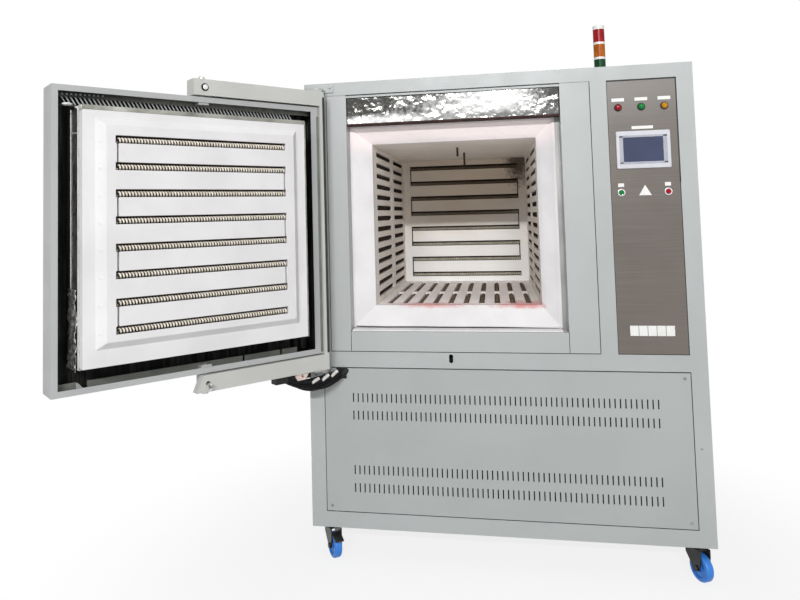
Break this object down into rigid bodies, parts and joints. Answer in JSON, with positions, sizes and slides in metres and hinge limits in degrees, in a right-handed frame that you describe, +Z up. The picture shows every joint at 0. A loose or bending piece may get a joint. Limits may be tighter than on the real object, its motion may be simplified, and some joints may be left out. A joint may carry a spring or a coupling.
{
  "type": "box furnace",
  "caption": "Floor-standing box furnace on casters, side-hinged insulated door on a swinging yoke, louvred base and control panel with touch screen.",
  "frame": {"origin": "on the floor, below the middle of the cabinet's front face", "axes": "+X to the right seen from the front, +Y into the cabinet, +Z up"},
  "size_m": [2.2302, 2.266, 2.219],
  "materials": {
    "painted_body": "light grey-green powder coat",
    "painted_door": "light grey-green powder coat",
    "frame_steel": "grey primer",
    "stainless": "polished",
    "zinc_steel": "bright zinc",
    "fibre": "matt ceramic fibre board",
    "heating_wire": "oxidised resistance wire",
    "panel_paint": "satin taupe paint",
    "plastic_grey": "moulded",
    "screen_glass": "dark glass",
    "chrome": "plated",
    "red_lens": "translucent",
    "green_lens": "translucent",
    "amber_lens": "translucent",
    "green_button": "moulded",
    "red_button": "moulded",
    "label_white": "plain",
    "black_plastic": "moulded",
    "lead_black": "sleeved",
    "ceramic_pink": "unglazed",
    "fork_black": "black paint",
    "wheel_blue": "polyurethane tread"
  },
  "bodies": {
    "cabinet": {"front_frame": "painted_body", "side_panels": "painted_body", "rear_panel": "painted_body", "top_panel": "painted_body", "lower_front_panel": "painted_body", "landing_strips": "painted_body", "hinge_brackets": "painted_body", "base_frame": "frame_steel", "inner_frame": "frame_steel", "furnace_case": "frame_steel", "polished_lintel": "stainless", "panel_screws": "zinc_steel", "caster_plates": "zinc_steel", "mouth_frame": "fibre", "fibre_blocks": "fibre", "side_slot_plates": "fibre", "floor_slot_plates": "fibre", "roof_board": "fibre", "rear_board": "fibre", "slot_heaters": "heating_wire", "rear_coil": "heating_wire", "thermocouples": "heating_wire", "control_panel": "panel_paint", "screen_bezel": "plastic_grey", "screen_glass": "screen_glass", "lamp_bezels": "chrome", "button_collars": "chrome", "red_lamp": "red_lens", "tower_red": "red_lens", "green_lamp": "green_lens", "tower_green": "green_lens", "amber_lamp": "amber_lens", "tower_amber": "amber_lens", "label_plates": "label_white", "tower_base": "black_plastic", "tower_rings": "black_plastic", "door_sensor": "black_plastic", "electrical_gear": "black_plastic", "lead_entry": "black_plastic", "door_leads": "lead_black"},
    "yoke": {"yoke_frame": "painted_door", "yoke_pins": "zinc_steel", "lead_terminals": "ceramic_pink"},
    "door": {"door_shell": "painted_door", "plug_frame": "stainless", "plug_block": "fibre", "door_coil": "heating_wire", "door_handle": "zinc_steel"},
    "start": {"start_button": "green_button"},
    "stop": {"stop_button": "red_button"},
    "pedal": {"brake_pedal": "black_plastic"},
    "caster_front_left": {"fork_front_left": "fork_black"},
    "roller_front_left": {"wheel_front_left": "wheel_blue"},
    "caster_front_right": {"fork_front_right": "fork_black"},
    "roller_front_right": {"wheel_front_right": "wheel_blue"},
    "caster_rear_left": {"fork_rear_left": "fork_black"},
    "roller_rear_left": {"wheel_rear_left": "wheel_blue"},
    "caster_rear_right": {"fork_rear_right": "fork_black"},
    "roller_rear_right": {"wheel_rear_right": "wheel_blue"}
  },
  "joints": [
    {"name": "yoke_swing", "type": "hinge", "parent": "cabinet", "child": "yoke", "pos_m": [-0.708, -0.05, 1.3525], "axis": [0, 0, -1], "range_deg": [-131.7, 16.3]},
    {"name": "door_pivot", "type": "hinge", "parent": "yoke", "child": "door", "pos_m": [-1.04123, -0.44956, 1.3525], "axis": [0, 0, 1], "range_deg": [-0.9, 0.9]},
    {"name": "start_press", "type": "slide", "parent": "cabinet", "child": "start", "axis": [0, 1, 0], "range_m": [0, 0.004], "stiffness_N_per_m": 500, "springref_m": -0.002},
    {"name": "stop_press", "type": "slide", "parent": "cabinet", "child": "stop", "axis": [0, 1, 0], "range_m": [0, 0.004], "stiffness_N_per_m": 500, "springref_m": -0.002},
    {"name": "swivel_front_left", "type": "hinge", "parent": "cabinet", "child": "caster_front_left", "pos_m": [-0.71, 0.065, 0.118], "axis": [0, 0, 1], "continuous": true},
    {"name": "roll_front_left", "type": "hinge", "parent": "caster_front_left", "child": "roller_front_left", "pos_m": [-0.69257, 0.03816, 0.05], "axis": [0.8387, 0.5446, 0], "continuous": true},
    {"name": "brake_press", "type": "hinge", "parent": "caster_front_left", "child": "pedal", "pos_m": [-0.68277, 0.02307, 0.103], "axis": [0.8387, 0.5446, 0], "range_deg": [0, 10]},
    {"name": "swivel_front_right", "type": "hinge", "parent": "cabinet", "child": "caster_front_right", "pos_m": [0.71, 0.065, 0.118], "axis": [0, 0, 1], "continuous": true},
    {"name": "roll_front_right", "type": "hinge", "parent": "caster_front_right", "child": "roller_front_right", "pos_m": [0.72352, 0.036, 0.05], "axis": [0.9063, 0.4226, 0], "continuous": true},
    {"name": "swivel_rear_left", "type": "hinge", "parent": "cabinet", "child": "caster_rear_left", "pos_m": [-0.71, 1.335, 0.118], "axis": [0, 0, 1], "continuous": true},
    {"name": "roll_rear_left", "type": "hinge", "parent": "caster_rear_left", "child": "roller_rear_left", "pos_m": [-0.694, 1.36271, 0.05], "axis": [-0.866, 0.5, 0], "continuous": true},
    {"name": "swivel_rear_right", "type": "hinge", "parent": "cabinet", "child": "caster_rear_right", "pos_m": [0.71, 1.335, 0.118], "axis": [0, 0, 1], "continuous": true},
    {"name": "roll_rear_right", "type": "hinge", "parent": "caster_rear_right", "child": "roller_rear_right", "pos_m": [0.69648, 1.364, 0.05], "axis": [-0.9063, -0.4226, 0], "continuous": true}
  ]
}
